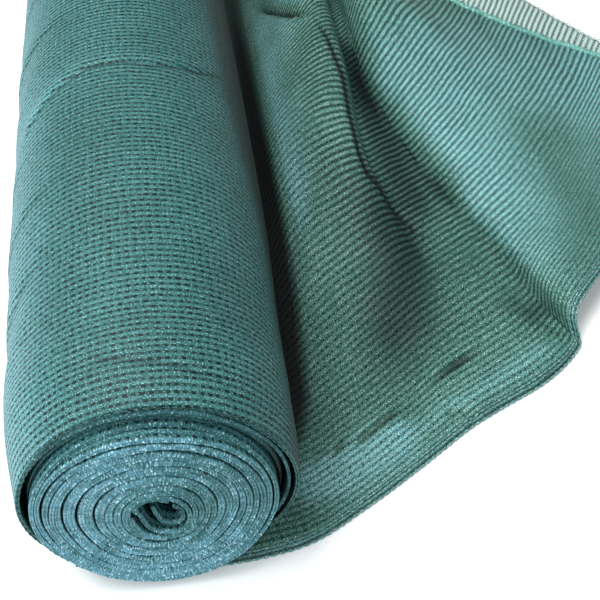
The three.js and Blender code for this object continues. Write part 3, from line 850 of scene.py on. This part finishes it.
# The selvedge's knots along the front edge of each layer.
front_lines = []
for name, layer, thickness in (("front_knots_lower", lower_middle, 0.95),
                               ("front_knots_upper", upper_middle, 0.9)):
    line = even_steps(layer[0], BEAD / 6.0)
    line[:, 2] = np.maximum(line[:, 2], thickness)
    front_lines.append(knotted_cord(name, line, thickness, BEAD))
for piece in front_lines:
    piece.data.materials.append(selvedge)
    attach(piece, "root")


# The cut ends. The upper layer's cut has curled into a thin pale roll, and the lower layer's
# shows the open loops of its rows, with a few threads pulled loose.
ROW_SPACING = 4.2
CURL_RADIUS = 3.4
LOOP_RADIUS = 0.32
THREAD_RADIUS = 0.22
curl_line = even_steps(upper_middle[:, -1] + np.array([0.0, 0.0, 1.2]), ROW_SPACING / 3)
curled_cut = knotted_cord("curled_cut", curl_line, CURL_RADIUS, ROW_SPACING, 9)

cut = lower_middle[:, -1]
outward = unit(lower_middle[:, -1] - lower_middle[:, -2])
cut_rows = lower_rows[:, -1]
loop_rows = np.arange(7.0, FOLDED_WIDTH, ROW_SPACING)
loop_share = np.interp(loop_rows, cut_rows, np.arange(len(cut_rows)))
draw = np.random.default_rng(21)
loop_reach = draw.uniform(1.6, 3.4, len(loop_rows))


def on_cut(values, share):
    """Value along the cut at fractional places of its points."""
    return np.stack([np.interp(share, np.arange(len(values)), values[:, axis]) for axis in range(3)], -1)


def fine_tubes(name, lines, thickness, sides=4):
    """Thin round threads, all of the same number of points, along many lines at once."""
    ahead = unit(np.gradient(lines, axis=1))
    first = unit(np.cross(ahead, np.array([0.1, 0.2, 1.0])))
    second = np.cross(ahead, first)
    turn = np.linspace(0.0, 2.0 * np.pi, sides, endpoint=False)
    ring = first[:, :, None] * np.cos(turn)[:, None] + second[:, :, None] * np.sin(turn)[:, None]
    points = lines[:, :, None] + thickness * ring
    count = lines.shape[1]
    faces = []
    for number in range(len(lines)):
        start = number * count * sides
        faces += grid_faces(count, sides, True, start)[:, ::-1].tolist()
        last = start + (count - 1) * sides
        faces += [list(range(start, start + sides)), list(range(last + sides - 1, last - 1, -1))]
    knit = np.broadcast_to(np.array([0.0, 2.1]), points.shape[:-1] + (2,))
    return new_piece(name, points, faces, knit)


sweep = np.linspace(0.0, np.pi, 9)
aside = 0.36 * ROW_SPACING * np.cos(sweep)[None, :]
loop_places = loop_share[:, None] + aside * np.gradient(loop_share)[:, None] / ROW_SPACING
loop_lines = on_cut(cut, loop_places.ravel()).reshape(len(loop_rows), len(sweep), 3)
loop_out = on_cut(outward, loop_share)
loop_lines = loop_lines + loop_out[:, None] * (loop_reach[:, None] * np.sin(sweep))[..., None]
loop_lines[..., 2] = np.maximum(loop_lines[..., 2] + 0.5 * np.sin(sweep), 0.35)
cut_loops = fine_tubes("cut_loops", loop_lines, LOOP_RADIUS)

thread_bend = np.linspace(0.0, 1.0, 16)
thread_lines = []
# Each loose thread: its row, how far it reaches out and how far it bends aside.
for row, reach, bend in ((70.0, 26.0, 9.0), (84.0, 20.0, -7.0), (96.0, 30.0, 6.0), (205.0, 16.0, 6.0)):
    share = np.array([np.interp(row, cut_rows, np.arange(len(cut_rows)))])
    root, away = on_cut(cut, share)[0], on_cut(outward, share)[0]
    aside = np.array([-away[1], away[0], 0.0])
    line = root + away * (reach * thread_bend)[:, None] + aside * (bend * thread_bend ** 2)[:, None]
    line[:, 2] = 0.3 + 2.5 * np.sin(np.pi * thread_bend)
    thread_lines.append(line)
loose_threads = fine_tubes("loose_threads", np.array(thread_lines), THREAD_RADIUS)
cut_edge = knit_net("cut edge", (0.03, 0.13, 0.115, 1.0), (0.12, 0.34, 0.3, 1.0), (0.3, 0.56, 0.5, 1.0),
                    (0.75, 0.88, 0.84, 1.0), SKY_REFLECTION, (0.08, 0.08), 0.9, False)
for piece in (curled_cut, cut_loops, loose_threads):
    piece.data.materials.append(cut_edge)
    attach(piece, "root")


# Plain white floor, soft lights and the camera, which aren't part of the roll.
FLOOR_HALF = 6000
FLOOR_TOP = -0.3
floor_corners = [[-FLOOR_HALF, -FLOOR_HALF, FLOOR_TOP], [FLOOR_HALF, -FLOOR_HALF, FLOOR_TOP],
                 [FLOOR_HALF, FLOOR_HALF, FLOOR_TOP], [-FLOOR_HALF, FLOOR_HALF, FLOOR_TOP]]
floor = new_piece("floor", floor_corners, [[0, 1, 2, 3]])
white = Shader("white floor")
floor.data.materials.append(white.finish(white.node("BsdfPrincipled", {}, {
    "Base Color": (0.93, 0.93, 0.93, 1.0), "Roughness": 0.8})))


def soft_light(name, place, aim, size, power, colour):
    """Square area light turned towards a point, all in metres."""
    lamp = bpy.data.lights.new(name, "AREA")
    lamp.size = size
    lamp.energy = power
    lamp.color = colour
    made = bpy.data.objects.new(name, lamp)
    made.location = place
    made.rotation_euler = (Vector(aim) - Vector(place)).to_track_quat("-Z", "Y").to_euler()
    bpy.context.scene.collection.objects.link(made)


soft_light("key_light", (-0.55, -0.1, 1.6), (0.1, -0.1, 0.0), 1.2, 36.0, (1.0, 1.0, 0.97))
soft_light("left_light", (-1.2, -1.1, 0.9), (0.0, -0.2, 0.05), 0.9, 17.0, (0.85, 0.94, 1.0))
soft_light("right_light", (0.8, -1.3, 1.3), (0.1, -0.2, 0.0), 0.9, 10.0, (0.92, 0.97, 1.0))
world = bpy.data.worlds.new("studio")
world.use_nodes = True
world.node_tree.nodes["Background"].inputs["Color"].default_value = (0.95, 0.98, 1.0, 1.0)
world.node_tree.nodes["Background"].inputs["Strength"].default_value = 0.33
bpy.context.scene.world = world
bpy.context.scene.view_settings.view_transform = "Standard"

lens = bpy.data.cameras.new("camera")
lens.lens = 64.1
lens.sensor_width = 36.0
camera = bpy.data.objects.new("camera", lens)
camera.location = (0.0306, FRONT - 0.3101, 0.5435)
camera.rotation_euler = np.radians((43.79, 0.0, -8.06))
bpy.context.scene.collection.objects.link(camera)
bpy.context.scene.camera = camera
